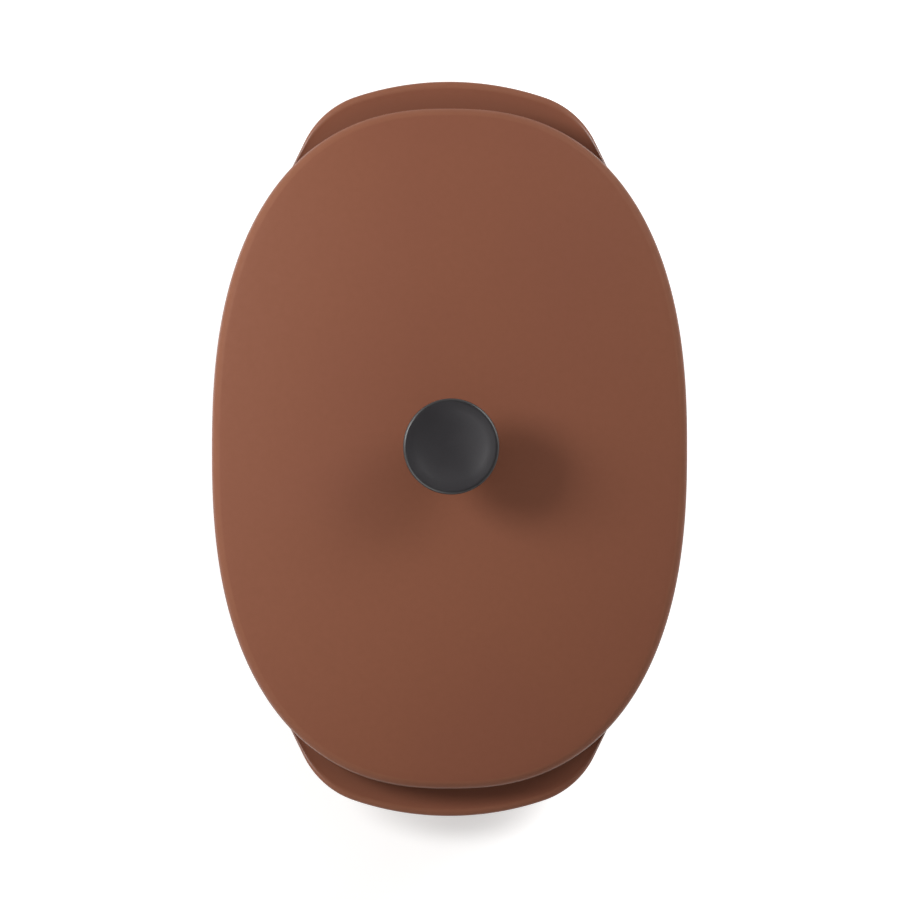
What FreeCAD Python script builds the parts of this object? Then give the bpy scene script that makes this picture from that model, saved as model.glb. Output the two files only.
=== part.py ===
import FreeCAD, Part
import math
import os

# Lidded oval casserole dish, in millimetres.
# The dish stands on its foot ring at height 0, with its length along Y and its width along X.

V = FreeCAD.Vector
UP = V(0, 0, 1)
CENTRE = V(0, 0, 0)
level_tolerance = 1e-6

# The oval that every ring of the dish and the lid follows
rim_half_width = 112.3
rim_half_length = 160.6
oval_squareness = 2.43
oval_stations = 48

# The dish
rim_height = 100.0
wall_thickness = 6.5
wall_lean = 13.0
floor_thickness = 6.5
outer_corner_radius = 24.0
inner_corner_radius = 19.0
rim_outer_round = 1.2
rim_inner_round = 1.6
foot_gap = 1.5
foot_width = 8.0
foot_height = 3.0
foot_round = 1.4
foot_root_round = 0.8
flat_margin = 6.0

# The two wing handles, which are part of the dish
handle_overhang = 13.4
handle_root_half_width = 75.5
handle_end_radius = 141.0
handle_corner_radius = 41.0
handle_side_angle = 26.0
handle_top_drop = 7.0
handle_valley_drop = 7.5
handle_lip_drop = 7.2
handle_lip_thickness = 5.8
handle_nose_share = 0.45
handle_shoulder_fall = 0.3
handle_valley_rise = 0.1
handle_lip_round_above = 1.0
handle_lip_round_below = 1.2
handle_cove_falls = (2.0, 6.5, 13.0)
handle_root_drop = 34.0
handle_root_depth = 2.5
handle_fade_angle = 2.0
handle_sections_per_side = 9
handle_search_steps = 40

# The lid
lid_reveal = 0.9
lid_thickness = 6.0
lid_edge_height = 8.2
lid_edge_round = 5.2
lid_foot_round = 0.7
crown_rise = 12.0
crown_flat_half_width = 17.0
flange_clearance = 1.5
flange_thickness = 4.0
flange_depth = 9.0
flange_round_share = 0.4
flange_root_round = 0.5
under_crown_round = 6.0

# The knob
knob_radius = 22.0
knob_height = 34.0
knob_head_height = 8.0
knob_edge_round = 1.4
knob_rim_width = 0.4
knob_dish_radius = 60.0
knob_under_round = 1.8
knob_under_width = 3.2
knob_under_slope = 1.0
knob_waist_radius = 10.5
knob_waist_height = 13.0
knob_foot_radius = 13.5
knob_foot_height = 3.0
knob_foot_round = 1.0
knob_foot_margin = 0.6

# The knob's fixing: an M6 screw from inside the lid, into an insert moulded into the knob
screw_radius = 3.0
screw_tip_clearance = 1.7
screw_head_radius = 6.0
screw_head_height = 3.6
screw_head_round = 2.2
screw_small_round = 0.2
screw_tip_round = 0.7
drive_slot_width = 1.3
drive_slot_length = 6.4
drive_slot_depth = 2.0
thread_clearance = 0.05
insert_radius = 4.8
insert_length = 12.0
insert_groove_depth = 0.6
insert_groove_width = 2.4
washer_hole_clearance = 0.3
seal_hole_clearance = 0.6
lid_hole_clearance = 1.0
knob_seal_margin = 1.5
knob_seal_thickness = 1.0
lid_seal_radius = 9.5
lid_seal_thickness = 1.5
washer_radius = 8.0
washer_thickness = 1.2
washer_edge_round = 0.25
spring_washer_radius = 5.9
spring_washer_thickness = 1.6
spring_washer_gap = 0.9
spring_washer_gap_angle = 22.0

# Places that follow from the sizes above
lean_per_height = wall_lean / (rim_height - foot_height)
wall_slope_angle = math.atan(lean_per_height)
corner_reach_per_radius = math.tan((math.pi / 2 - wall_slope_angle) / 2)
floor_height = foot_height + floor_thickness
floor_corner_inset = wall_thickness + (rim_height - floor_height) * lean_per_height
foot_outer_inset = wall_lean + outer_corner_radius * corner_reach_per_radius + foot_gap
foot_inner_inset = foot_outer_inset + foot_width
inner_corner_end = floor_corner_inset + inner_corner_radius * corner_reach_per_radius
flat_inset = flat_margin + max(foot_inner_inset, inner_corner_end)
lid_top = rim_height + lid_edge_height + crown_rise
lid_underside = lid_top - lid_thickness
crown_flat_inset = rim_half_width - crown_flat_half_width
crown_radius = ((crown_flat_inset - lid_reveal) ** 2 + crown_rise ** 2) / (2 * crown_rise)
knob_base = lid_top + knob_seal_thickness
knob_top = knob_base + knob_height
washer_top = lid_underside - lid_seal_thickness
spring_washer_top = washer_top - washer_thickness
screw_seat = spring_washer_top - spring_washer_thickness
screw_tip = knob_base + insert_length - screw_tip_clearance


def arc_edge(start, middle, end):
    return Part.Arc(V(*start, 0), V(*middle, 0), V(*end, 0)).toShape()


def line_edge(start, end):
    return Part.LineSegment(V(*start, 0), V(*end, 0)).toShape()


def point_at(centre, radius, angle):
    """The point at an angle, in radians, on a circle in the profile's plane."""
    return (centre[0] + radius * math.cos(angle), centre[1] + radius * math.sin(angle))


def arc_about(centre, radius, start_angle, end_angle):
    """An arc about a centre in the profile's plane, with its angles in radians."""
    angles = (start_angle, (start_angle + end_angle) / 2, end_angle)
    return arc_edge(*[point_at(centre, radius, angle) for angle in angles])


def rounded_path(corners):
    """Straight runs through corners (x, y, radius), with each inner corner rounded."""
    edges = []
    here = corners[0][:2]
    for before, corner, after in zip(corners, corners[1:], corners[2:]):
        point = V(corner[0], corner[1], 0)
        back = (V(before[0], before[1], 0) - point).normalize()
        ahead = (V(after[0], after[1], 0) - point).normalize()
        half_turn = back.getAngle(ahead) / 2
        bisector = (back + ahead).normalize()
        reach = corner[2] / math.tan(half_turn)
        start = point + back * reach
        end = point + ahead * reach
        middle = point + bisector * (corner[2] / math.sin(half_turn) - corner[2])
        edges.append(line_edge(here, (start.x, start.y)))
        edges.append(arc_edge((start.x, start.y), (middle.x, middle.y), (end.x, end.y)))
        here = (end.x, end.y)
    edges.append(line_edge(here, corners[-1][:2]))
    return edges


def unit_oval_point(angle):
    """A point of the oval with half axes of 1, at an angle in radians from X."""
    across = abs(math.cos(angle)) ** oval_squareness
    along = abs(math.sin(angle)) ** oval_squareness
    distance = (across + along) ** (-1 / oval_squareness)
    return V(distance * math.cos(angle), distance * math.sin(angle), 0)


def unit_oval_curve():
    """The closed smooth curve through points of the unit oval."""
    turn = 2 * math.pi / oval_stations
    curve = Part.BSplineCurve()
    points = [unit_oval_point(turn * station) for station in range(oval_stations)]
    curve.interpolate(Points=points, PeriodicFlag=True)
    return curve


UNIT_OVAL = unit_oval_curve()


def oval_point(unit_point, inset, height):
    """A point of the oval that lies inset from the rim's outline, at a height."""
    return V((rim_half_width - inset) * unit_point.x, (rim_half_length - inset) * unit_point.y, height)


def oval_wire(inset, height):
    """A level oval inset from the rim's outline."""
    curve = UNIT_OVAL.copy()
    for number, pole in enumerate(UNIT_OVAL.getPoles(), 1):
        curve.setPole(number, oval_point(pole, inset, height))
    return Part.Wire(curve.toShape())


def oval_band(profile_edge):
    """The face that a profile edge, drawn as (inset, height), leaves as it goes round the oval."""
    profile = profile_edge.Curve.toBSpline(*profile_edge.ParameterRange)
    ring_poles = UNIT_OVAL.getPoles()
    poles = [[oval_point(ring_pole, pole.x, pole.y) for ring_pole in ring_poles]
             for pole in profile.getPoles()]
    weights = [[weight] * len(ring_poles) for weight in profile.getWeights()]
    surface = Part.BSplineSurface()
    surface.buildFromPolesMultsKnots(
        poles, profile.getMultiplicities(), UNIT_OVAL.getMultiplicities(),
        profile.getKnots(), UNIT_OVAL.getKnots(), False, True,
        profile.Degree, UNIT_OVAL.Degree, weights)
    return surface.toShape()


def level_ring(start, end):
    """The flat face between two ovals, from two points (inset, height) at the same height."""
    return Part.makeFace([oval_wire(point.x, point.y) for point in (start, end)], "Part::FaceMakerBullseye")


def oval_face(profile_edge):
    """The face that a profile edge leaves: a flat one where the edge is level."""
    start = profile_edge.Vertexes[0].Point
    end = profile_edge.Vertexes[-1].Point
    if profile_edge.Curve.TypeId == "Part::GeomLine" and abs(start.y - end.y) < level_tolerance:
        return level_ring(start, end)
    return oval_band(profile_edge)


def oval_solid(profile_edges):
    """A solid from an open profile of (inset, height) edges, closed by a level face at each end."""
    faces = [oval_face(edge) for edge in profile_edges]
    first = profile_edges[0].Vertexes[0].Point
    last = profile_edges[-1].Vertexes[-1].Point
    faces.append(Part.Face(oval_wire(first.x, first.y)))
    faces.append(Part.Face(oval_wire(last.x, last.y)))
    shell = Part.makeShell(faces)
    shell.sewShape()
    return outward(Part.makeSolid(Part.Shell(shell.Faces)))


def outward(solid):
    """The solid with its faces turned outward."""
    if solid.Volume < 0:
        solid.reverse()
    return solid


def turned(edges):
    """A round solid about Z from a closed profile of (radius, height) edges."""
    face = Part.Face(Part.Wire(edges))
    face.rotate(CENTRE, V(1, 0, 0), 90)
    return outward(face.revolve(CENTRE, UP, 360))


def washer(outer_radius, inner_radius, base_height, thickness):
    """A flat ring about Z."""
    ring = Part.makeCylinder(outer_radius, thickness, V(0, 0, base_height))
    return ring.cut(Part.makeCylinder(inner_radius, thickness, V(0, 0, base_height)))


def wall_inset(height):
    """How far the dish's outer wall lies in from the rim's outline at a height."""
    return (rim_height - height) * lean_per_height


def dish_shell():
    """The dish without its handles: floor, wall, rim and foot ring."""
    return oval_solid(rounded_path([
        (flat_inset, floor_height, 0),
        (floor_corner_inset, floor_height, inner_corner_radius),
        (wall_thickness, rim_height, rim_inner_round),
        (0, rim_height, rim_outer_round),
        (wall_lean, foot_height, outer_corner_radius),
        (foot_outer_inset, foot_height, foot_root_round),
        (foot_outer_inset, 0, foot_round),
        (foot_inner_inset, 0, foot_round),
        (foot_inner_inset, foot_height, foot_root_round),
        (flat_inset, foot_height, 0)]))


def handle_root_point():
    """The point of the rim's outline where the handle's side ends."""
    across = handle_root_half_width / rim_half_width
    along = (1 - across ** oval_squareness) ** (1 / oval_squareness)
    return V(handle_root_half_width, rim_half_length * along, 0)


def handle_corner_centre():
    """The centre of the round between the handle's end arc and its side."""
    side = math.radians(handle_side_angle)
    side_out = V(math.cos(side), math.sin(side), 0)
    side_up = V(-math.sin(side), math.cos(side), 0)
    end_centre = V(0, rim_half_length + handle_overhang - handle_end_radius, 0)
    start = handle_root_point() - side_out * handle_corner_radius - end_centre
    along = start.dot(side_up)
    distance = handle_end_radius - handle_corner_radius
    run = -along + math.sqrt(along ** 2 - start.Length ** 2 + distance ** 2)
    return end_centre + start + side_up * run


def handle_gap(point):
    """How far a point lies outside the handle's outline, and below 0 inside it."""
    corner = handle_corner_centre()
    side = math.radians(handle_side_angle)
    side_out = V(math.cos(side), math.sin(side), 0)
    side_up = V(-math.sin(side), math.cos(side), 0)
    end_centre = V(0, rim_half_length + handle_overhang - handle_end_radius, 0)
    place = V(abs(point.x), point.y, 0)
    corner_turn = math.atan2(corner.x, corner.y - end_centre.y)
    if math.atan2(place.x, place.y - end_centre.y) < corner_turn:
        return (place - end_centre).Length - handle_end_radius
    if (place - corner).dot(side_up) < 0:
        return (place - corner).dot(side_out) - handle_corner_radius
    return (place - corner).Length - handle_corner_radius


def rim_frame(angle):
    """A point of the rim's outline and the level direction straight out of the wall there."""
    unit_point = unit_oval_point(angle)
    point = oval_point(unit_point, 0, 0)
    slope = oval_squareness - 1
    across = math.copysign(abs(unit_point.x) ** slope, unit_point.x) / rim_half_width
    along = math.copysign(abs(unit_point.y) ** slope, unit_point.y) / rim_half_length
    return point, V(across, along, 0).normalize()


def handle_reach(angle):
    """How far the handle stands out of the rim at an angle, and below 0 where it has ended."""
    point, out = rim_frame(angle)
    inside = -2 * handle_overhang
    outside = 2 * handle_overhang
    for _ in range(handle_search_steps):
        middle = (inside + outside) / 2
        if handle_gap(point + out * middle) < 0:
            inside = middle
        else:
            outside = middle
    return inside


def handle_section(angle):
    """The handle's section at an angle: a dished top, a rounded lip and a cove down to the wall."""
    point, out = rim_frame(angle)
    nose = handle_reach(angle)
    lip_bottom = handle_lip_drop + handle_lip_thickness
    # Each point is a share of the way from the root, inside the wall, to the nose, and a drop below the rim
    outline = [
        (0.00, handle_top_drop),
        (0.22, handle_top_drop + handle_shoulder_fall),
        (0.46, handle_valley_drop),
        (0.68, handle_valley_drop - handle_valley_rise),
        (0.85, handle_lip_drop),
        (0.96, handle_lip_drop + handle_lip_round_above),
        (1.00, handle_lip_drop + handle_lip_thickness * handle_nose_share),
        (0.96, lip_bottom - handle_lip_round_below),
        (0.84, lip_bottom),
        (0.60, lip_bottom + handle_cove_falls[0]),
        (0.38, lip_bottom + handle_cove_falls[1]),
        (0.20, lip_bottom + handle_cove_falls[2]),
        (0.00, handle_root_drop)]
    points = []
    for share, drop in outline:
        root = -wall_inset(rim_height - drop) - handle_root_depth
        distance = root + share * (nose - root)
        points.append(V(point.x + out.x * distance, point.y + out.y * distance, rim_height - drop))
    surface_line = Part.BSplineCurve()
    surface_line.interpolate(points)
    return Part.Wire([surface_line.toShape(), Part.LineSegment(points[-1], points[0]).toShape()])


def wing_handle():
    """The wing handle at the +Y end, whose two ends fade out inside the wall."""
    root = handle_root_point()
    root_angle = math.atan2(root.y / rim_half_length, root.x / rim_half_width)
    end_angle = root_angle - math.radians(handle_fade_angle)
    step = (math.pi / 2 - end_angle) / handle_sections_per_side
    count = 2 * handle_sections_per_side + 1
    sections = [handle_section(end_angle + step * number) for number in range(count)]
    return outward(Part.makeLoft(sections, True, False))


def make_dish_body():
    front = wing_handle()
    back = front.copy()
    back.rotate(CENTRE, UP, 180)
    return dish_shell().fuse([front, back])


def crown_meeting(side_inset, radius, round_radius):
    """The centres of an upright side's round and of the crown, and the angle where the two meet."""
    crown_centre = (crown_flat_inset, lid_top - crown_radius)
    round_inset = side_inset + round_radius
    rise = math.sqrt((radius - round_radius) ** 2 - (crown_flat_inset - round_inset) ** 2)
    round_centre = (round_inset, crown_centre[1] + rise)
    return round_centre, crown_centre, math.atan2(rise, round_inset - crown_flat_inset)


def make_lid():
    """A crowned shell with a rounded edge that rests on the rim and a flange that drops inside it."""
    level = math.pi / 2
    upright = math.pi
    flange_outer = wall_thickness + flange_clearance
    flange_lower = flange_outer + flange_depth * lean_per_height
    flange_inner = flange_lower + flange_thickness
    flange_bottom = rim_height - flange_depth
    flange_round = flange_thickness * flange_round_share
    under_radius = crown_radius - lid_thickness
    edge_centre, crown_centre, meeting = crown_meeting(lid_reveal, crown_radius, lid_edge_round)
    top = [arc_about(crown_centre, crown_radius, level, meeting),
           arc_about(edge_centre, lid_edge_round, meeting, upright)]
    inner_centre, crown_centre, meeting = crown_meeting(flange_inner, under_radius, under_crown_round)
    under = [arc_about(inner_centre, under_crown_round, upright, meeting),
             arc_about(crown_centre, under_radius, meeting, level)]
    side = rounded_path([
        (lid_reveal, edge_centre[1], 0),
        (lid_reveal, rim_height, lid_foot_round),
        (flange_outer, rim_height, flange_root_round),
        (flange_lower, flange_bottom, flange_round),
        (flange_inner, flange_bottom, flange_round),
        (flange_inner, inner_centre[1], 0)])
    hole = Part.makeCylinder(screw_radius + lid_hole_clearance, 2 * lid_thickness,
                             V(0, 0, lid_underside - lid_thickness / 2))
    return oval_solid(top + side + under).cut(hole)


def make_knob():
    """A mushroom knob with a dished top, a waist and a foot, moulded round its insert."""
    rim_inner = knob_radius - knob_edge_round - knob_rim_width
    dish_centre = knob_top + math.sqrt(knob_dish_radius ** 2 - rim_inner ** 2)
    dish_turn = math.asin(rim_inner / knob_dish_radius)
    dish_bottom = dish_centre - knob_dish_radius
    head_bottom = knob_top - knob_head_height
    foot_top = knob_base + knob_foot_height
    down = -math.pi / 2
    dish = arc_about((0, dish_centre), knob_dish_radius, down, down + dish_turn)
    head = rounded_path([
        (rim_inner, knob_top, 0),
        (knob_radius, knob_top, knob_edge_round),
        (knob_radius, head_bottom, knob_under_round),
        (knob_radius - knob_under_width, head_bottom - knob_under_slope, 0)])
    waist = arc_edge((knob_radius - knob_under_width, head_bottom - knob_under_slope),
                     (knob_waist_radius, knob_base + knob_waist_height),
                     (knob_foot_radius - knob_foot_margin, foot_top))
    foot = rounded_path([
        (knob_foot_radius - knob_foot_margin, foot_top, 0),
        (knob_foot_radius, knob_base, knob_foot_round),
        (0, knob_base, 0)])
    axis = line_edge((0, knob_base), (0, dish_bottom))
    return turned([dish] + head + [waist] + foot + [axis]).cut(insert_blank())


def insert_blank():
    """The insert's outside, with two grooves that lock it in the knob."""
    blank = Part.makeCylinder(insert_radius, insert_length, V(0, 0, knob_base))
    for share in (1 / 3, 2 / 3):
        groove_base = knob_base + insert_length * share - insert_groove_width / 2
        groove_radius = insert_radius - insert_groove_depth
        blank = blank.cut(washer(2 * insert_radius, groove_radius, groove_base, insert_groove_width))
    return blank


def make_knob_insert():
    bore = Part.makeCylinder(screw_radius + thread_clearance, insert_length, V(0, 0, knob_base))
    return insert_blank().cut(bore)


def make_knob_seal():
    return washer(knob_foot_radius - knob_seal_margin, screw_radius + seal_hole_clearance,
                  lid_top, knob_seal_thickness)


def make_lid_seal():
    return washer(lid_seal_radius, screw_radius + seal_hole_clearance, washer_top, lid_seal_thickness)


def make_screw_washer():
    """A flat washer with its outer edges broken."""
    inner = screw_radius + washer_hole_clearance
    return turned(rounded_path([
        (inner, spring_washer_top, 0),
        (washer_radius, spring_washer_top, washer_edge_round),
        (washer_radius, washer_top, washer_edge_round),
        (inner, washer_top, 0)]) + [line_edge((inner, washer_top), (inner, spring_washer_top))])


def make_spring_washer():
    """A split ring with a slanted cut, pressed flat under the screw's head."""
    hole_radius = screw_radius + washer_hole_clearance
    ring = washer(spring_washer_radius, hole_radius, screw_seat, spring_washer_thickness)
    reach = 2 * spring_washer_radius
    split = Part.makeBox(reach, spring_washer_gap, reach, V(0, -spring_washer_gap / 2, -reach / 2))
    split.rotate(CENTRE, V(1, 0, 0), spring_washer_gap_angle)
    split.translate(V(0, 0, screw_seat + spring_washer_thickness / 2))
    return ring.cut(split)


def make_knob_screw():
    """A pan-head screw with a cross recess, its thread drawn as a plain shank."""
    head_bottom = screw_seat - screw_head_height
    screw = turned(rounded_path([
        (0, head_bottom, 0),
        (screw_head_radius, head_bottom, screw_head_round),
        (screw_head_radius, screw_seat, screw_small_round),
        (screw_radius, screw_seat, screw_small_round),
        (screw_radius, screw_tip, screw_tip_round),
        (0, screw_tip, 0)]) + [line_edge((0, screw_tip), (0, head_bottom))])
    for quarter in (0, 90):
        slot = Part.makeBox(drive_slot_length, drive_slot_width, drive_slot_depth,
                            V(-drive_slot_length / 2, -drive_slot_width / 2, head_bottom))
        slot.rotate(CENTRE, UP, quarter)
        screw = screw.cut(slot)
    return screw


PARTS = {
    "dish_body": make_dish_body,
    "lid": make_lid,
    "knob": make_knob,
    "knob_insert": make_knob_insert,
    "knob_seal": make_knob_seal,
    "lid_seal": make_lid_seal,
    "screw_washer": make_screw_washer,
    "spring_washer": make_spring_washer,
    "knob_screw": make_knob_screw,
}

os.makedirs("parts", exist_ok=True)
for name, make in PARTS.items():
    shape = make()
    shape.exportStep(os.path.join("parts", name + ".step"))
    print(name, "valid", shape.isValid(), "solids", len(shape.Solids), "volume", round(shape.Volume, 1))
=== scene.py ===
import math

import bmesh
import bpy
from bpy.props import FloatProperty, FloatVectorProperty, IntProperty, PointerProperty
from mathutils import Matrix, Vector


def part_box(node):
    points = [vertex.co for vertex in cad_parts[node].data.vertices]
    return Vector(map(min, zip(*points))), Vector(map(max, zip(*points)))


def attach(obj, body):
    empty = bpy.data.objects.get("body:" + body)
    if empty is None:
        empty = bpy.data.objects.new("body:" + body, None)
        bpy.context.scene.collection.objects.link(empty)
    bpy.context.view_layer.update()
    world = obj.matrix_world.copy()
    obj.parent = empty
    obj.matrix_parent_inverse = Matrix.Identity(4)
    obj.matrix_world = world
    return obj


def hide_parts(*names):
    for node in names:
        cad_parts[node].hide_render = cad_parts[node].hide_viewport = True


# Finish of an oval lidded casserole dish: satin glaze over ceramic, a moulded knob and its screw fixing.
# Metres, +Z up, with the dish standing at height 0 and its length along Y.

bl_info = {
    "name": "Casserole dish",
    "version": (1, 0, 0),
    "blender": (4, 5, 0),
    "location": "3D View > Sidebar > Casserole",
    "description": "Builds the glazed dish, its lid and knob, and a plain studio round them",
    "category": "Object",
}

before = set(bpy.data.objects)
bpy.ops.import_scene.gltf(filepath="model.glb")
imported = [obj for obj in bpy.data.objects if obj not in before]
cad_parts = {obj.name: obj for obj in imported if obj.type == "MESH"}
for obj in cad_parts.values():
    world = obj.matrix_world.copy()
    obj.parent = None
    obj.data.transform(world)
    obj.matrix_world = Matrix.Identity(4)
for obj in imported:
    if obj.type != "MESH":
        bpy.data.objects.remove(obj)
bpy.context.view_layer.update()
DISH_LOW, DISH_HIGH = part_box("dish_body")
LID_LOW, LID_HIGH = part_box("lid")
KNOB_LOW, KNOB_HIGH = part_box("knob")
INSERT_LOW, INSERT_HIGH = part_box("knob_insert")

HALF_TURN = math.pi
QUARTER_TURN = math.pi / 2
# The sharpest bend that the glaze tells apart, in 1/m.
SHARPEST_BEND = 800.0
# Vertices nearer than this, in metres, are one.
SAME_PLACE = 1e-7
# How often the way to a handle's outline is halved to find it.
HALVINGS = 40
# Nearly all of a noise lies between these values.
NOISE_LOW = 0.3
NOISE_HIGH = 0.7
# Lathe marks on the turned metal, in a metre.
RINGS_PER_METRE = 9000.0
# How much those marks change the metal's roughness.
METAL_SPREAD = (-0.08, 0.12)
SILICONE_BLACK = (0.022, 0.022, 0.023)
SILICONE_BLOOM = (0.07, 0.07, 0.072)


def number(name, default, description, least=0.0, **kinds):
    """A plain number that a user can change."""
    return FloatProperty(name=name, default=default, description=description, min=least, **kinds)


def length(name, default, description, least=0.0):
    """A size in metres that a user can change."""
    return number(name, default, description, least, unit="LENGTH", precision=5)


def share(name, default, description):
    """A share from 0 to 1 that a user can change."""
    return number(name, default, description, subtype="FACTOR", max=1.0)


def angle(name, degrees, description):
    """An angle, given in degrees, that a user can change."""
    return number(name, math.radians(degrees), description, subtype="ANGLE")


def count(name, default, description):
    """A whole number that a user can change."""
    return IntProperty(name=name, default=default, description=description, min=1)


def several(name, default, description, unit="NONE"):
    """A few values that belong together and that a user can change."""
    return FloatVectorProperty(name=name, default=default, description=description, size=len(default),
                               unit=unit)


def colour(name, default, description):
    """A colour, in linear light, that a user can change."""
    return FloatVectorProperty(name=name, default=default, description=description, subtype="COLOR", size=3,
                               min=0.0, max=1.0)


class OvalSizes(bpy.types.PropertyGroup):
    """The oval that every ring of the dish and the lid follows, and how finely it is divided."""
    half_width: length("Half width", 0.1123, "From the middle to the rim, across")
    half_length: length("Half length", 0.1606, "From the middle to the rim, along")
    squareness: number("Squareness", 2.43, "2 is an ellipse, more is squarer", least=2.0)
    root_stations: count("Handle stations", 56, "Stations from a handle's root to its middle")
    side_stations: count("Side stations", 64, "Stations from the middle of a side to a handle")
    crowding: number("Crowding", 1.3, "1 is even, more draws the stations to the roots", least=1.0)
    run_step: length("Run step", 0.005, "Longest stretch between two rings on a straight run")
    turn_step: angle("Turn step", 12, "Largest turn between two rings")


class DishSizes(bpy.types.PropertyGroup):
    """The dish's wall, floor, rim and foot."""
    wall_thickness: length("Wall thickness", 0.0065, "Of the side wall")
    wall_lean: length("Wall lean", 0.013, "How far the wall leans in from the rim to the underside")
    floor_thickness: length("Floor thickness", 0.0065, "Of the floor")
    outer_corner: length("Outer corner", 0.024, "Radius of the outside round between wall and underside")
    inner_corner: length("Inner corner", 0.019, "Radius of the inside round between wall and floor")
    rim_outer_round: length("Rim outer round", 0.0012, "Radius of the rim's outer edge")
    rim_inner_round: length("Rim inner round", 0.0016, "Radius of the rim's inner edge")
    foot_gap: length("Foot gap", 0.0015, "Level stretch between the corner's round and the foot")
    foot_width: length("Foot width", 0.008, "Width of the foot ring")
    foot_height: length("Foot height", 0.003, "Height of the foot ring")
    foot_round: length("Foot round", 0.0014, "Radius of the foot's lower edges")
    foot_root_round: length("Foot root round", 0.0008, "Radius where the foot meets the underside")
    flat_margin: length("Flat margin", 0.006, "Level stretch inside the rounds of the floor")


class HandleSizes(bpy.types.PropertyGroup):
    """The wing handles, which are cast in one with the dish."""
    overhang: length("Overhang", DISH_HIGH.y - 0.1606, "From the rim to the handle's end")
    root_half_width: length("Root half width", 0.0755, "From the middle to where the side meets the rim")
    end_radius: length("End radius", 0.141, "Radius of the long end arc, seen from above")
    corner_radius: length("Corner radius", 0.041, "Radius between the end arc and the side")
    side_angle: angle("Side angle", 26, "Slant of the side")
    top_drop: length("Top drop", 0.0070, "From the rim down to the handle's top at the wall")
    shoulder_fall: length("Shoulder fall", 0.0003, "How much the top falls beside the wall")
    valley_drop: length("Valley drop", 0.0075, "From the rim down to the bottom of the dished top")
    valley_rise: length("Valley rise", 0.0001, "How much the dished top has risen at two thirds of its width")
    lip_drop: length("Lip drop", 0.0072, "From the rim down to the top of the lip")
    lip_thickness: length("Lip thickness", 0.0058, "Height of the lip at the handle's end")
    nose_share: share("Nose share", 0.45, "Where the lip reaches furthest out, as a share of its height")
    lip_round_above: length("Lip round above", 0.001, "How much the lip is rounded down above its nose")
    lip_round_below: length("Lip round below", 0.0012, "How much the lip is rounded up below its nose")
    cove_falls: several("Cove falls", (0.002, 0.0065, 0.013),
                        "Drops of three points of the cove below the lip", "LENGTH")
    root_drop: length("Root drop", 0.034, "From the rim down to where the handle leaves the wall below")
    root_depth: length("Root depth", 0.0025, "How far the handle's section starts inside the wall")
    wall_start: length("Wall start", 0.0016, "From the rim down to where the handle's rings start")
    corner_share: share("Corner share", 0.35, "Buried share up to which rings stay in the corner at the wall")
    corner_reach: length("Corner reach", 0.034, "Reach at which the rings beyond it are lifted in full")
    end_depth: length("End depth", 0.003, "How far inside the wall the handle has ended")
    fade_depth: length("Fade depth", 0.0015, "Stretch of that depth in which its rings spread over the wall")
    end_margin: length("End margin", 0.006, "From the root to where the handle has ended, across")
    # The next two bound the painted shade on the handles' dished tops, which stands in for the lid's shadow
    # and the wall's shade.
    painted_shade_margin: length("Pool margin", 0.0006, "Height over and under the dished top that counts as top")
    painted_shade_end: share("Pool end", 0.85, "Where the gathered glaze ends, as a share of the way out")
    span_steps: count("Span steps", 4, "Rings between two points of the section")


class LidSizes(bpy.types.PropertyGroup):
    """The crowned lid and the flange below it."""
    reveal: length("Reveal", 0.0009, "How much of the rim shows round the lid")
    thickness: length("Thickness", 0.006, "Of the crown")
    edge_round: length("Edge round", 0.0052, "Radius of the outer edge")
    foot_round: length("Foot round", 0.0007, "Radius where the edge meets the rim")
    crown_rise: length("Crown rise", 0.012, "From the edge's top to the middle")
    flat_half_width: length("Flat half width", 0.017, "Of the level middle")
    flange_clearance: length("Flange clearance", 0.0015, "Between the flange and the dish's wall")
    flange_thickness: length("Flange thickness", 0.004, "Of the flange")
    flange_round_share: share("Flange round share", 0.4, "Radius of its edge as a share of its thickness")
    flange_root_round: length("Flange root round", 0.0005, "Radius where the flange meets the seat")
    under_round: length("Under round", 0.006, "Radius between the flange and the crown's underside")
    hole_radius: length("Hole radius", 0.004, "Of the hole for the knob's screw")
    middle_rings: count("Middle rings", 6, "Rings in the level middle")


class KnobSizes(bpy.types.PropertyGroup):
    """The moulded knob."""
    radius: length("Radius", KNOB_HIGH.x, "Of the head")
    head_height: length("Head height", 0.008, "Of the head's side, with its rounds")
    edge_round: length("Edge round", 0.0014, "Radius of the head's top edge")
    rim_width: length("Rim width", 0.0004, "Level rim round the dished top")
    dish_radius: length("Dish radius", 0.060, "Radius of the dished top's hollow")
    under_round: length("Under round", 0.0018, "Radius of the head's lower edge")
    under_width: length("Under width", 0.0032, "Sloping stretch under the head")
    under_slope: length("Under slope", 0.001, "Fall of that stretch")
    waist_radius: length("Waist radius", 0.0105, "Of the waist")
    waist_height: length("Waist height", 0.013, "Of the waist over the foot's underside")
    foot_radius: length("Foot radius", 0.0135, "Of the foot")
    foot_height: length("Foot height", 0.003, "Of the foot")
    foot_round: length("Foot round", 0.001, "Radius of the foot's edge")
    foot_margin: length("Foot margin", 0.0006, "How far the waist ends inside the foot")
    groove_depth: length("Groove depth", 0.0006, "Of the grooves that lock the insert")
    groove_width: length("Groove width", 0.0024, "Of those grooves")
    turn_steps: count("Turn steps", 160, "Steps round the knob")


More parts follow.
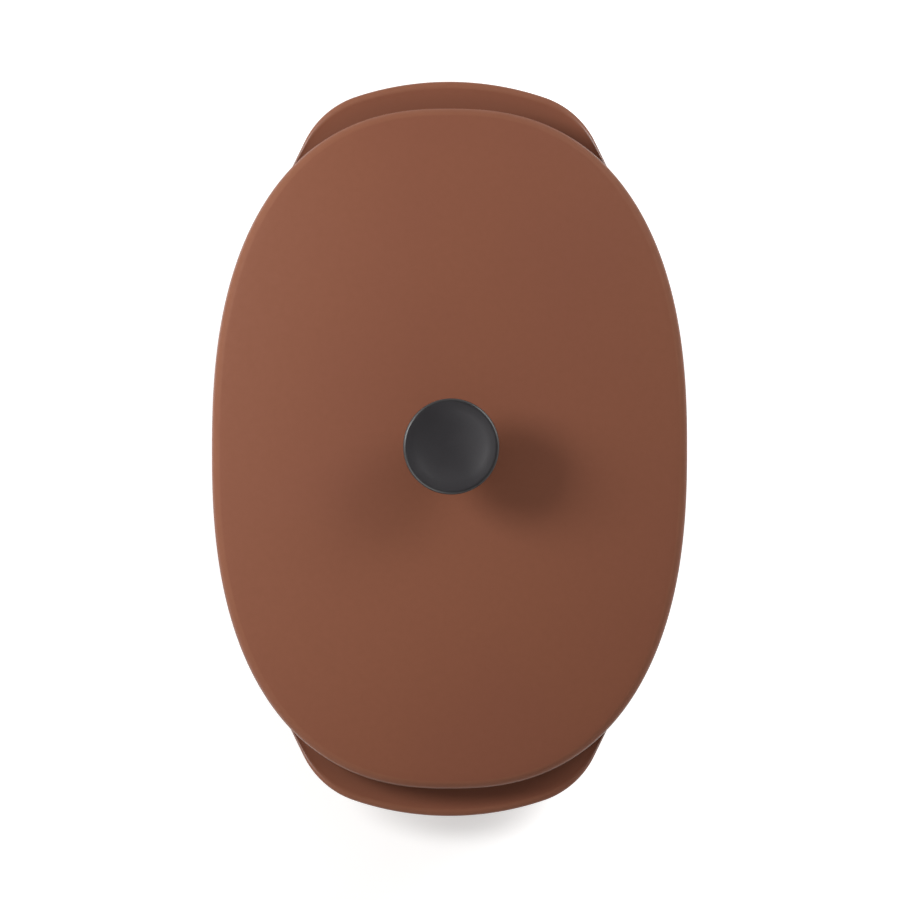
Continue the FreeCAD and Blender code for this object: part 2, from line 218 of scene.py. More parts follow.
class GlazeLook(bpy.types.PropertyGroup):
    """The satin glaze and the bare clay of the foot."""
    body: colour("Body", (0.236, 0.083, 0.044), "The glaze where it lies evenly")
    cool: colour("Cool patches", (0.228, 0.079, 0.044), "Slow patches of a cooler tone")
    thin: colour("Thin edges", (0.305, 0.130, 0.070), "Where the glaze runs thin over an edge")
    # Dark colour of glaze pooled in inward bends, and also of the painted shade on the handles' dished tops.
    pooled_and_shaded: colour("Pooled hollows", (0.160, 0.057, 0.031), "Where the glaze gathers in a hollow")
    clay: colour("Bare clay", (0.520, 0.370, 0.240), "Unglazed clay on the foot")
    patch_range: several("Patch range", (0.38, 0.66), "Noise values between which the cool patches fade in")
    mottle_range: several("Mottle range", (0.35, 0.75), "Noise values between which the mottling fades in")
    thin_bends: several("Thin bends", (30.0, 110.0), "Bends, in 1/m, between which the thin tone grows")
    sharp_bends: several("Sharp bends", (160.0, 320.0), "Bends, in 1/m, between which it fades again")
    pooled_bends: several("Pooled bends", (-30.0, -300.0), "Inward bends between which the pooled tone grows")
    smooth_bends: several("Smooth bends", (150.0, 400.0), "Bends between which the glaze grows smooth")
    spread: several("Spread", (-0.03, 0.04), "How much the mottling changes the roughness")
    thin_strength: share("Thin strength", 0.32, "How strongly the edges take the thin tone")
    pooled_strength: share("Pooled strength", 0.30, "How strongly the hollows take the pooled tone")
    roughness: share("Roughness", 0.62, "Of the satin surface")
    edge_roughness: share("Edge roughness", 0.20, "Of the rims and lips, where the glaze is smooth")
    gloss: share("Gloss", 0.2, "How strongly the glaze mirrors its surroundings")
    edge_gloss: share("Edge gloss", 0.7, "How strongly the rims and lips mirror them")
    sharp_share: share("Sharp share", 0.3, "How much of the thin tone the sharpest edges keep")
    mottle_strength: share("Mottle strength", 0.35, "How strongly the fine mottling shows")
    mottle_tone: share("Mottle tone", 0.90, "How bright the mottling is against the glaze")
    line_start: length("Line start", 0.0004, "Height up to which the foot's clay is bare")
    line_end: length("Line end", 0.0007, "Height from which the glaze covers it")
    line_wobble: length("Line wobble", 0.0003, "How much that line wanders up and down")
    clay_tone: share("Clay tone", 0.8, "How bright the clay's grain is against the clay")
    clay_roughness: share("Clay roughness", 0.45, "How much rougher the bare clay is")
    # Painted shade: how strongly the handles' dished tops darken beside the wall, where the lid's shadow and
    # the wall's shade fall.
    handle_painted_shade: share("Handle pool", 0.75, "How strongly the handles' dished tops take the pooled tone")


class KnobLook(bpy.types.PropertyGroup):
    """The knob's resin."""
    body: colour("Body", (0.0200, 0.0183, 0.0205), "Dark grey resin")
    worn: colour("Handled edges", (0.025, 0.024, 0.025), "Where hands have polished the edges")
    speck_tone: number("Speck tone", 1.25, "How bright the fine texture's specks are against the resin")
    roughness: share("Roughness", 0.45, "Of the fine moulded texture")
    spread: several("Spread", (-0.04, 0.05), "How much slow patches change the roughness")
    handled_bends: several("Handled bends", (60.0, 320.0), "Bends between which the handled edges fade in")
    polish: share("Polish", 0.15, "How much smoother the handled edges are")
    gloss: share("Gloss", 0.36, "How strongly the resin mirrors its surroundings")


class StudioLook(bpy.types.PropertyGroup):
    """The light, the floor and the camera."""
    card_glows: several("Card glows", (2.5, 4.0, 4.0), "How bright three white cards look in the glaze")
    card_azimuths: several("Card azimuths", [math.radians(turn) for turn in (230, 155, 35)],
                           "Directions of the cards, from X towards Y", "ROTATION")
    card_elevations: several("Card elevations", [math.radians(turn) for turn in (28, 12, 12)],
                             "Heights of the cards over the horizon", "ROTATION")
    card_starts: several("Card starts", (0.72, 0.84, 0.84),
                         "Cosines of the angles from a card's middle to its faded edge")
    card_core: share("Card core", 0.98, "Cosine of the angle from a card's middle to its full brightness")
    sky_share: share("Sky share", 0.32, "Even light from all round, as a share of a plain level light")
    ceiling_share: share("Ceiling share", 0.10, "How bright the dark ceiling looks in the glaze")
    wall_top: share("Wall top", 0.30, "Height, as a sine, up to which the white walls show in the glaze")
    ceiling_start: share("Ceiling start", 0.85, "Height, as a sine, from which the dark ceiling shows in it")
    key_share: share("Key share", 0.440, "What the key lamp adds on a level surface")
    key_azimuth: angle("Key azimuth", 160, "Direction of the key lamp, from X towards Y")
    key_elevation: angle("Key elevation", 41, "Height of the key lamp over the horizon")
    key_reach: length("Key reach", 1.1, "From the dish to the key lamp")
    key_size: length("Key size", 0.38, "Side of the key lamp")
    fill_share: share("Fill share", 0.172, "What the fill lamp adds on a level surface")
    fill_azimuth: angle("Fill azimuth", 40, "Direction of the fill lamp, from X towards Y")
    fill_elevation: angle("Fill elevation", 38, "Height of the fill lamp over the horizon")
    fill_reach: length("Fill reach", 1.2, "From the dish to the fill lamp")
    fill_size: length("Fill size", 0.52, "Side of the fill lamp")
    floor_white: colour("Floor white", (0.88, 0.88, 0.87), "The floor's own colour")
    floor_glow: share("Floor glow", 0.44, "How much the floor's white is lifted for the camera")
    # Painted light: the floor's lift is raised on the right, over the key lamp's shadow, which it paints out.
    painted_side_light: share("Side glow", 0.40, "How much more it is lifted on the side away from the key lamp")
    far_glow: share("Far glow", 0.35, "How much more it is lifted far from the dish")
    side_start: length("Side start", -0.012, "Where that side starts, along X", least=-1.0)
    side_end: length("Side end", 0.07, "Where the side's glow has its full strength, from the middle")
    cover_width: length("Cover width", 0.118, "Half width of the floor that the rim hides")
    cover_length: length("Cover length", 0.172, "Half length of the floor that the rim hides")
    side_fade: share("Side fade", 0.85, "Share of the hidden floor from which the side's glow grows")
    # Painted shade under the dish: the floor's lift is lowered where the rim hides it, so the dish's shadow
    # looks darker from the side.
    painted_under_fade: share("Under fade", 0.8, "Share of the hidden floor from which its shade fades")
    painted_under_end: share("Under end", 0.97, "Share of the hidden floor at which that shade has gone")
    far_start: number("Far start", 2.0, "Where the far glow starts, in sizes of the hidden floor")
    far_end: number("Far end", 6.0, "Where it has its full strength, in the same measure")
    # Painted shadow: an oval in front of the dish in which the floor's lift is lowered.
    painted_shade_glow: share("Shade glow", 0.19, "The floor's lift in the shade in front of the dish")
    painted_shade_across: length("Shade across", 0.005, "Place of that shade along X")
    painted_shade_front: length("Shade front", 0.172, "From the middle to that shade")
    painted_shade_width: length("Shade width", 0.058, "Half width of that shade")
    painted_shade_length: length("Shade length", 0.0265, "Half length of that shade")
    painted_shade_core: share("Shade core", 0.5, "Share of that shade that has its full depth")
    floor_size: length("Floor size", 6.0, "Width of the floor")
    camera_distance: length("Camera distance", 1.8, "From the rim to the camera")
    frame_width: length("Frame width", 0.4241, "Width of the picture at the rim's height")
    sensor_width: number("Sensor width", 36.0, "Width of the camera's sensor, in millimetres")
    aim_across: length("Aim across", 0.00015, "Where the camera aims, along X", least=-1.0)
    aim_along: length("Aim along", -0.00094, "Where the camera aims, along Y", least=-1.0)
    camera_tilt: angle("Camera tilt", 0.76, "How far the camera looks up from the dish's near end")
    camera_swing: angle("Camera swing", 0.72, "How far the camera looks over from the dish's left side")
    camera_roll: angle("Camera roll", 0.1, "Turn of the picture")


def oval_unit(angle, squareness):
    """A point of the oval with half axes of 1, at an angle from X."""
    across = abs(math.cos(angle)) ** squareness
    along = abs(math.sin(angle)) ** squareness
    distance = (across + along) ** (-1 / squareness)
    return Vector((distance * math.cos(angle), distance * math.sin(angle)))


def root_point(oval, handle):
    """The point of the rim's outline where the handle's side meets it."""
    across = handle.root_half_width / oval.half_width
    along = (1 - across ** oval.squareness) ** (1 / oval.squareness)
    return Vector((handle.root_half_width, oval.half_length * along))


def station_angles(oval, handle):
    """The angles of the stations round the oval, with one exactly at each handle's root."""
    root = root_point(oval, handle)
    root_angle = math.atan2(root.y / oval.half_length, root.x / oval.half_width)
    quarter = [root_angle * (1 - (1 - number / oval.side_stations) ** oval.crowding)
               for number in range(oval.side_stations)]
    quarter += [root_angle + (QUARTER_TURN - root_angle) * (number / oval.root_stations) ** oval.crowding
                for number in range(oval.root_stations)]
    second = [HALF_TURN - angle for angle in reversed(quarter[1:])]
    half = quarter + [QUARTER_TURN] + second
    return half + [angle + HALF_TURN for angle in half]


def handle_corner(oval, handle):
    """The centre of the end arc and of the round between it and the slanted side."""
    out = Vector((math.cos(handle.side_angle), math.sin(handle.side_angle)))
    up = Vector((-out.y, out.x))
    end_centre = Vector((0, oval.half_length + handle.overhang - handle.end_radius))
    start = root_point(oval, handle) - out * handle.corner_radius - end_centre
    along = start.dot(up)
    distance = handle.end_radius - handle.corner_radius
    run = -along + math.sqrt(along ** 2 - start.length_squared + distance ** 2)
    return end_centre, end_centre + start + up * run


def handle_gap(point, centres, handle):
    """How far a point lies outside the handle's outline, and below 0 inside it."""
    end_centre, corner = centres
    out = Vector((math.cos(handle.side_angle), math.sin(handle.side_angle)))
    up = Vector((-out.y, out.x))
    place = Vector((abs(point.x), abs(point.y)))
    corner_turn = math.atan2(corner.x, corner.y - end_centre.y)
    if math.atan2(place.x, place.y - end_centre.y) < corner_turn:
        return (place - end_centre).length - handle.end_radius
    if (place - corner).dot(up) < 0:
        return (place - corner).dot(out) - handle.corner_radius
    return (place - corner).length - handle.corner_radius


def handle_reach(point, out, centres, handle):
    """How far the handle stands out of the rim at a point, and below 0 where it ends inside the wall."""
    if abs(point.x) > handle.root_half_width + handle.end_margin:
        return -handle.end_depth
    inside = -2 * handle.overhang
    outside = 2 * handle.overhang
    for _ in range(HALVINGS):
        middle = (inside + outside) / 2
        if handle_gap(point + out * middle, centres, handle) < 0:
            inside = middle
        else:
            outside = middle
    return inside


def add_run(points, end, run_step):
    """Adds evenly spaced points from the last point to an end."""
    start = points[-1]
    steps = max(1, round((end - start).length / run_step))
    points.extend(start.lerp(end, number / steps) for number in range(1, steps + 1))


def add_arc(points, centre, end, oval):
    """Adds points on an arc about a centre from the last point to an end, the short way round."""
    start = points[-1] - centre
    turn = start.angle_signed(end - centre)
    steps = max(math.ceil(abs(turn) / oval.turn_step), math.ceil(abs(turn) * start.length / oval.run_step))
    begin = math.atan2(start.y, start.x)
    for number in range(1, steps + 1):
        angle = begin - turn * number / steps
        points.append(centre + start.length * Vector((math.cos(angle), math.sin(angle))))


def rounded_profile(corners, oval):
    """Points along straight runs through corners (x, y, radius), with each inner corner rounded."""
    points = [Vector(corners[0][:2])]
    for before, corner, after in zip(corners, corners[1:], corners[2:]):
        point = Vector(corner[:2])
        back = (Vector(before[:2]) - point).normalized()
        ahead = (Vector(after[:2]) - point).normalized()
        half_angle = back.angle(ahead) / 2
        reach = corner[2] / math.tan(half_angle)
        centre = point + (back + ahead).normalized() * (corner[2] / math.sin(half_angle))
        add_run(points, point + back * reach, oval.run_step)
        add_arc(points, centre, point + ahead * reach, oval)
    add_run(points, Vector(corners[-1][:2]), oval.run_step)
    return points


def smooth_line(points, steps):
    """A smooth line through points, with a number of steps between each two of them."""
    ends = [2 * points[0] - points[1]] + points + [2 * points[-1] - points[-2]]
    line = []
    for before, start, end, after in zip(ends, ends[1:], ends[2:], ends[3:]):
        for number in range(steps):
            way = number / steps
            bend = (2 * start + (end - before) * way
                    + (2 * before - 5 * start + 4 * end - after) * way ** 2
                    + (3 * start - before - 3 * end + after) * way ** 3)
            line.append(bend / 2)
    return line + [points[-1]]


def dish_profiles(oval, dish, wall_start, wall_end):
    """The profile as (inset, height) down to a drop on the outer wall, on from a lower one, and the lean."""
    rim_height = DISH_HIGH.z
    lean = dish.wall_lean / (rim_height - dish.foot_height)
    corner_reach = math.tan((QUARTER_TURN - math.atan(lean)) / 2)
    floor_height = dish.foot_height + dish.floor_thickness
    floor_inset = dish.wall_thickness + (rim_height - floor_height) * lean
    foot_outer = dish.wall_lean + dish.outer_corner * corner_reach + dish.foot_gap
    foot_inner = foot_outer + dish.foot_width
    flat_inset = dish.flat_margin + max(foot_inner, floor_inset + dish.inner_corner * corner_reach)
    upper = rounded_profile([
        (flat_inset, floor_height, 0),
        (floor_inset, floor_height, dish.inner_corner),
        (dish.wall_thickness, rim_height, dish.rim_inner_round),
        (0, rim_height, dish.rim_outer_round),
        (wall_start * lean, rim_height - wall_start, 0)], oval)
    lower = rounded_profile([
        (wall_end * lean, rim_height - wall_end, 0),
        (dish.wall_lean, dish.foot_height, dish.outer_corner),
        (foot_outer, dish.foot_height, dish.foot_root_round),
        (foot_outer, 0, dish.foot_round),
        (foot_inner, 0, dish.foot_round),
        (foot_inner, dish.foot_height, dish.foot_root_round),
        (flat_inset, dish.foot_height, 0)], oval)
    return upper, lower, lean


def handle_outline(handle):
    """The handle's section round the lip, as (share of the way out, drop below the rim)."""
    lip_bottom = handle.lip_drop + handle.lip_thickness
    return [Vector(pair) for pair in (
        (0.00, handle.top_drop),
        (0.22, handle.top_drop + handle.shoulder_fall),
        (0.46, handle.valley_drop),
        (0.68, handle.valley_drop - handle.valley_rise),
        (0.85, handle.lip_drop),
        (0.96, handle.lip_drop + handle.lip_round_above),
        (1.00, handle.lip_drop + handle.lip_thickness * handle.nose_share),
        (0.96, lip_bottom - handle.lip_round_below),
        (0.84, lip_bottom),
        (0.60, lip_bottom + handle.cove_falls[0]),
        (0.38, lip_bottom + handle.cove_falls[1]),
        (0.20, lip_bottom + handle.cove_falls[2]),
        (0.00, handle.root_drop))]


def start_ring(mesh, stations, layer):
    """A ring of vertices that are numbered round the oval, and its edges."""
    made = bmesh.ops.create_circle(mesh, cap_ends=False, segments=stations, radius=1.0)
    for vertex in made["verts"]:
        turn = math.atan2(vertex.co.y, vertex.co.x) / (2 * HALF_TURN)
        vertex[layer] = round(turn * stations) % stations
    return made["verts"], mesh.edges[:]


def pull_ring(mesh, edges):
    """Pulls a new ring out of the last one, and gives its vertices and edges."""
    made = bmesh.ops.extrude_edge_only(mesh, edges=edges)["geom"]
    vertices = [item for item in made if isinstance(item, bmesh.types.BMVert)]
    ring = [item for item in made if isinstance(item, bmesh.types.BMEdge) and item.is_boundary]
    return vertices, ring


def ringed_mesh(places, stations):
    """A mesh of rings, one for each function in places, which tells where a station's vertex goes."""
    mesh = bmesh.new()
    layer = mesh.verts.layers.int.new("station")
    vertices, edges = start_ring(mesh, stations, layer)
    first = edges
    for number, place in enumerate(places):
        if number:
            vertices, edges = pull_ring(mesh, edges)
        for vertex in vertices:
            vertex.co = place(vertex[layer])
    return mesh, first, edges


def fill_level(mesh, ring):
    """Closes a level ring with a fan of faces."""
    made = bmesh.ops.edgeloop_fill(mesh, edges=ring)["faces"]
    bmesh.ops.poke(mesh, faces=made)


def bend_over(vertices):
    """How sharply the surface bends at these vertices together, in 1/m."""
    area = 0.0
    bend = 0.0
    for vertex in vertices:
        area += sum(face.calc_area() / len(face.verts) for face in vertex.link_faces)
        bend += sum(edge.calc_length() * edge.calc_face_angle_signed(0.0) for edge in vertex.link_edges)
    return bend / (4 * area)


def mark_edges(mesh):
    """Stores how sharply the surface bends outward (above 0) or inward (below 0), for the glaze."""
    layer = mesh.verts.layers.float.new("bend")
    for vertex in mesh.verts:
        bend = bend_over([vertex])
        if abs(bend) > SHARPEST_BEND:
            bend = bend_over([vertex] + [edge.other_vert(vertex) for edge in vertex.link_edges])
        vertex[layer] = max(-SHARPEST_BEND, min(SHARPEST_BEND, bend))


def mark_painted_handle_shade(mesh, oval, handle):
    """Stores a painted shade on the handles' dished tops, darkest beside the wall, where the lid's shadow and
    the wall's shade fall.
    """
    layer = mesh.verts.layers.float.new("painted_handle_shade")
    for vertex in mesh.verts:
        place = vertex.co
        across = abs(place.x / oval.half_width) ** oval.squareness
        along = abs(place.y / oval.half_length) ** oval.squareness
        reach = (across + along) ** (1 / oval.squareness)
        drop = DISH_HIGH.z - place.z
        on_top = handle.top_drop - handle.painted_shade_margin < drop < handle.valley_drop + handle.painted_shade_margin
        if on_top and abs(place.x) < handle.root_half_width:
            way = place.xy.length * (1 - 1 / reach) / handle.overhang
            vertex[layer] = eased(1 - way / handle.painted_shade_end)


def placed_object(name, mesh, material):
    """Makes the object of a mesh, with its material, and puts it in the scene."""
    data = bpy.data.meshes.new(name)
    mesh.to_mesh(data)
    mesh.free()
    data.materials.append(material)
    placed = bpy.data.objects.new(name, data)
    bpy.context.scene.collection.objects.link(placed)
    return placed


def finished_object(name, mesh, body, nodes, material):
    """Makes a smooth closed piece, which rides on a body and stands for its nodes."""
    bmesh.ops.recalc_face_normals(mesh, faces=mesh.faces)
    mark_edges(mesh)
    for face in mesh.faces:
        face.smooth = True
    piece = placed_object(name, mesh, material)
    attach(piece, body)
    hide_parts(*nodes)


def plain_ring(units, oval, inset, height):
    """Where the stations of a level oval ring lie."""
    def place(station):
        unit = units[station]
        return Vector(((oval.half_width - inset) * unit.x, (oval.half_length - inset) * unit.y, height))
    return place


def rim_directions(oval, units):
    """The level direction straight out of the wall at each station."""
    slope = oval.squareness - 1
    return [Vector((math.copysign(abs(unit.x) ** slope, unit.x) / oval.half_width,
                    math.copysign(abs(unit.y) ** slope, unit.y) / oval.half_length)).normalized()
            for unit in units]


def eased(way):
    """A way from 0 to 1 that starts and stops gently."""
    way = min(1.0, max(0.0, way))
    return way * way * (3 - 2 * way)


def handle_ring(rims, outs, reaches, handle, lean, wall_drop, section_point, on_top):
    """Where the stations of one ring of the handles' stretch lie: on the wall, or on the handle's section."""
    def place(station):
        reach = reaches[station]
        grown = eased((reach + handle.end_depth) / handle.fade_depth)
        drop = wall_drop + (section_point.y - wall_drop) * grown
        root = -drop * lean - handle.root_depth
        buried = 1 - section_point.x * (reach - root) / handle.root_depth
        if on_top and buried > handle.corner_share:
            beyond = (buried - handle.corner_share) / (1 - handle.corner_share)
            drop -= (drop - handle.wall_start) * eased(reach / handle.corner_reach) * beyond
        distance = max(-drop * lean, root + section_point.x * (reach - root))
        at = rims[station] + outs[station] * distance
        return Vector((at.x, at.y, DISH_HIGH.z - drop))
    return place


def make_dish(oval, dish, handle):
    """The dish: rings from the middle of the floor, over the rim and the handles, to the underside."""
    units = [oval_unit(angle, oval.squareness) for angle in station_angles(oval, handle)]
    rims = [Vector((oval.half_width * unit.x, oval.half_length * unit.y)) for unit in units]
    outs = rim_directions(oval, units)
    centres = handle_corner(oval, handle)
    reaches = [handle_reach(rim, out, centres, handle) for rim, out in zip(rims, outs)]
    wall_start = handle.wall_start
    upper, lower, lean = dish_profiles(oval, dish, wall_start, handle.root_drop)
    section = smooth_line(handle_outline(handle), handle.span_steps)
    places = [plain_ring(units, oval, *point) for point in upper]
    for number, point in list(enumerate(section))[1:-1]:
        wall_drop = wall_start + (handle.root_drop - wall_start) * number / (len(section) - 1)
        on_top = point.y < handle.lip_drop + handle.lip_thickness * handle.nose_share
        places.append(handle_ring(rims, outs, reaches, handle, lean, wall_drop, point, on_top))
    places += [plain_ring(units, oval, *point) for point in lower]
    mesh, first, last = ringed_mesh(places, len(units))
    fill_level(mesh, first)
    fill_level(mesh, last)
    mark_painted_handle_shade(mesh, oval, handle)
    return mesh


def crown_meeting(side_inset, radius, round_radius, crown_centre):
    """The centre of the round of an upright side, and the point where it meets the crown."""
    inset = side_inset + round_radius
    rise = math.sqrt((radius - round_radius) ** 2 - (crown_centre.x - inset) ** 2)
    round_centre = Vector((inset, crown_centre.y + rise))
    return round_centre, crown_centre + (round_centre - crown_centre).normalized() * radius


def lid_profile(oval, dish, lid, lean):
    """The lid's profile as (inset, height), from the level middle's top, over the edge, to its underside."""
    rim_height = DISH_HIGH.z
    flange_bottom = LID_LOW.z
    flat_inset = oval.half_width - lid.flat_half_width
    flange_outer = dish.wall_thickness + lid.flange_clearance
    flange_lower = flange_outer + (rim_height - flange_bottom) * lean
    flange_inner = flange_lower + lid.flange_thickness
    flange_round = lid.flange_thickness * lid.flange_round_share
    crown_radius = ((flat_inset - lid.reveal) ** 2 + lid.crown_rise ** 2) / (2 * lid.crown_rise)
    crown_centre = Vector((flat_inset, LID_HIGH.z - crown_radius))
    edge_centre, edge_top = crown_meeting(lid.reveal, crown_radius, lid.edge_round, crown_centre)
    points = [Vector((flat_inset, LID_HIGH.z))]
    add_arc(points, crown_centre, edge_top, oval)
    add_arc(points, edge_centre, Vector((lid.reveal, edge_centre.y)), oval)
    under_radius = crown_radius - lid.thickness
    under_centre, under_top = crown_meeting(flange_inner, under_radius, lid.under_round, crown_centre)
    points += rounded_profile([
        (lid.reveal, edge_centre.y, 0),
        (lid.reveal, rim_height, lid.foot_round),
        (flange_outer, rim_height, lid.flange_root_round),
        (flange_lower, flange_bottom, flange_round),
        (flange_inner, flange_bottom, flange_round),
        (flange_inner, under_centre.y, 0)], oval)[1:]
    add_arc(points, under_centre, under_top, oval)
    add_arc(points, crown_centre, Vector((flat_inset, LID_HIGH.z - lid.thickness)), oval)
    return points


def middle_ring(units, angles, oval, lid, way, height):
    """Where the stations lie on a ring in the level middle, from the hole (way 0) to its edge (way 1)."""
    reach = lid.flat_half_width
    length_over = oval.half_length - oval.half_width + lid.flat_half_width

    def place(station):
        unit = units[station]
        angle = angles[station]
        edge = Vector((reach * unit.x, length_over * unit.y, height))
        hole = Vector((lid.hole_radius * math.cos(angle), lid.hole_radius * math.sin(angle), height))
        return hole.lerp(edge, way)
    return place


def make_lid(oval, dish, handle, lid):
    """The lid: rings from the hole over the crown and the edge, round the flange and back under the crown."""
    angles = station_angles(oval, handle)
    units = [oval_unit(angle, oval.squareness) for angle in angles]
    lean = dish.wall_lean / (DISH_HIGH.z - dish.foot_height)
    top = LID_HIGH.z
    bottom = top - lid.thickness
    ways = [number / lid.middle_rings for number in range(lid.middle_rings)]
    places = [middle_ring(units, angles, oval, lid, way, top) for way in ways]
    places += [plain_ring(units, oval, *point) for point in lid_profile(oval, dish, lid, lean)]
    places += [middle_ring(units, angles, oval, lid, way, bottom) for way in reversed(ways)]
    places.append(middle_ring(units, angles, oval, lid, 0, top))
    mesh, _, _ = ringed_mesh(places, len(units))
    bmesh.ops.remove_doubles(mesh, verts=mesh.verts, dist=SAME_PLACE)
    return mesh


def knob_profile(oval, knob):
    """The knob's profile as (radius, height), from the middle of its top to the end of the insert's seat."""
    base = KNOB_LOW.z
    top = KNOB_HIGH.z
    insert_radius = INSERT_HIGH.x
    insert_top = INSERT_HIGH.z
    rim_inner = knob.radius - knob.edge_round - knob.rim_width
    hollow_centre = Vector((0, top + math.sqrt(knob.dish_radius ** 2 - rim_inner ** 2)))
    head_bottom = top - knob.head_height
    foot_top = base + knob.foot_height
    waist_start = Vector((knob.radius - knob.under_width, head_bottom - knob.under_slope))
    waist_end = Vector((knob.foot_radius - knob.foot_margin, foot_top))
    points = [Vector((0, hollow_centre.y - knob.dish_radius))]
    add_arc(points, hollow_centre, Vector((rim_inner, top)), oval)
    points += rounded_profile([
        (rim_inner, top, 0),
        (knob.radius, top, knob.edge_round),
        (knob.radius, head_bottom, knob.under_round),
        (waist_start.x, waist_start.y, 0)], oval)[1:]
    waist_centre = arc_centre(waist_start, Vector((knob.waist_radius, base + knob.waist_height)), waist_end)
    add_arc(points, waist_centre, waist_end, oval)
    points += rounded_profile([
        (waist_end.x, waist_end.y, 0),
        (knob.foot_radius, base, knob.foot_round),
        (insert_radius, base, 0)], oval)[1:]
    for number in (1, 2):
        middle = base + (insert_top - base) * number / 3
        inner = insert_radius - knob.groove_depth
        for height in (middle - knob.groove_width / 2, middle + knob.groove_width / 2):
            radii = (insert_radius, inner) if height < middle else (inner, insert_radius)
            points += [Vector((radius, height)) for radius in radii]
    return points + [Vector((insert_radius, insert_top)), Vector((0, insert_top))]


def arc_centre(start, middle, end):
    """The centre of the arc through three points."""
    first = middle - start
    second = end - start
    area = 2 * (first.x * second.y - first.y * second.x)
    across = second.y * first.length_squared - first.y * second.length_squared
    along = first.x * second.length_squared - second.x * first.length_squared
    return start + Vector((across, along)) / area


def make_knob(oval, knob):
    """The knob: its profile, drawn out point by point and spun round Z."""
    mesh = bmesh.new()
    points = knob_profile(oval, knob)
    vertex = bmesh.ops.create_vert(mesh, co=(points[0].x, 0, points[0].y))["vert"][0]
    for point in points[1:]:
        made = bmesh.ops.extrude_vert_indiv(mesh, verts=[vertex])
        vertex = made["verts"][0]
        vertex.co = (point.x, 0, point.y)
    bmesh.ops.spin(mesh, geom=mesh.verts[:] + mesh.edges[:], cent=(0, 0, 0), axis=(0, 0, 1), dvec=(0, 0, 0),
                   angle=2 * HALF_TURN, steps=knob.turn_steps, use_merge=True, use_normal_flip=False,
                   use_duplicate=False)
    bmesh.ops.remove_doubles(mesh, verts=mesh.verts, dist=SAME_PLACE)
    return mesh


def new_material(name, slot_colour, roughness, metallic=0.0):
    """A material with a plain shader that the finish's own nodes are joined to."""
    material = bpy.data.materials.new(name)
    material.use_nodes = True
    tree = material.node_tree
    shader = tree.nodes["Principled BSDF"]
    shader.inputs["Base Color"].default_value = (*slot_colour, 1)
    shader.inputs["Roughness"].default_value = roughness
    shader.inputs["Metallic"].default_value = metallic
    return material, tree, shader


def object_place(tree):
    """The object's own coordinates, in metres."""
    return tree.nodes.new("ShaderNodeTexCoord").outputs["Object"]


def noise(tree, place, scale, detail=2.0, roughness=0.5):
    """Cloudy noise from 0 to 1, with about as many clouds in a metre as its scale."""
    texture = tree.nodes.new("ShaderNodeTexNoise")
    texture.inputs["Scale"].default_value = scale
    texture.inputs["Detail"].default_value = detail
    texture.inputs["Roughness"].default_value = roughness
    tree.links.new(place, texture.inputs["Vector"])
    return texture.outputs["Fac"]


def clouds(tree, place, scale, detail, low, high):
    """Cloudy noise that is spread over the range from low to high."""
    return mapped(tree, noise(tree, place, scale, detail), NOISE_LOW, NOISE_HIGH, low, high)


def mapped(tree, value, start, end, to_start=0.0, to_end=1.0, smooth=False):
    """A value moved from one range to another and kept inside it."""
    ranged = tree.nodes.new("ShaderNodeMapRange")
    ranged.interpolation_type = "SMOOTHSTEP" if smooth else "LINEAR"
    for socket, number in zip(("From Min", "From Max", "To Min", "To Max"), (start, end, to_start, to_end)):
        ranged.inputs[socket].default_value = number
    tree.links.new(value, ranged.inputs["Value"])
    return ranged.outputs["Result"]


def calculated(tree, operation, first, second):
    """A sum, product or the like of two values, each a socket or a number."""
    maths = tree.nodes.new("ShaderNodeMath")
    maths.operation = operation
    for socket, value in zip(maths.inputs, (first, second)):
        if isinstance(value, (int, float)):
            socket.default_value = value
        else:
            tree.links.new(value, socket)
    return maths.outputs["Value"]


def blended(tree, factor, first, second):
    """A colour between two others, each a socket or a colour."""
    mix = tree.nodes.new("ShaderNodeMix")
    mix.data_type = "RGBA"
    tree.links.new(factor, mix.inputs["Factor"])
    for socket, value in ((mix.inputs[6], first), (mix.inputs[7], second)):
        if isinstance(value, bpy.types.NodeSocket):
            tree.links.new(value, socket)
        else:
            socket.default_value = (*value, 1)
    return mix.outputs[2]


def bumped(tree, height, distance, strength=1.0, under=None):
    """A surface raised by a height from 0 to 1, over another bump if there is one."""
    bump = tree.nodes.new("ShaderNodeBump")
    bump.inputs["Strength"].default_value = strength
    bump.inputs["Distance"].default_value = distance
    tree.links.new(height, bump.inputs["Height"])
    if under:
        tree.links.new(under, bump.inputs["Normal"])
    return bump.outputs["Normal"]


def stored(tree, layer):
    """What the mesh stores in one of its layers."""
    attribute = tree.nodes.new("ShaderNodeAttribute")
    attribute.attribute_name = layer
    return attribute.outputs["Fac"]


def measure_of(tree, place, axis):
    """One of the three measures of a place, which axis names."""
    split = tree.nodes.new("ShaderNodeSeparateXYZ")
    tree.links.new(place, split.inputs[0])
    return split.outputs[axis]


def vector_calculated(tree, operation, first, second=None, result="Vector"):
    """What a calculation on a vector, and on a second one if it has that, gives."""
    maths = tree.nodes.new("ShaderNodeVectorMath")
    maths.operation = operation
    tree.links.new(first, maths.inputs[0])
    if second is not None:
        maths.inputs[1].default_value = second
    return maths.outputs[result]


def distance_from_axis(tree, place):
    """How far a place lies from the axis through the knob."""
    level = vector_calculated(tree, "MULTIPLY", place, (1, 1, 0))
    return vector_calculated(tree, "LENGTH", level, result="Value")


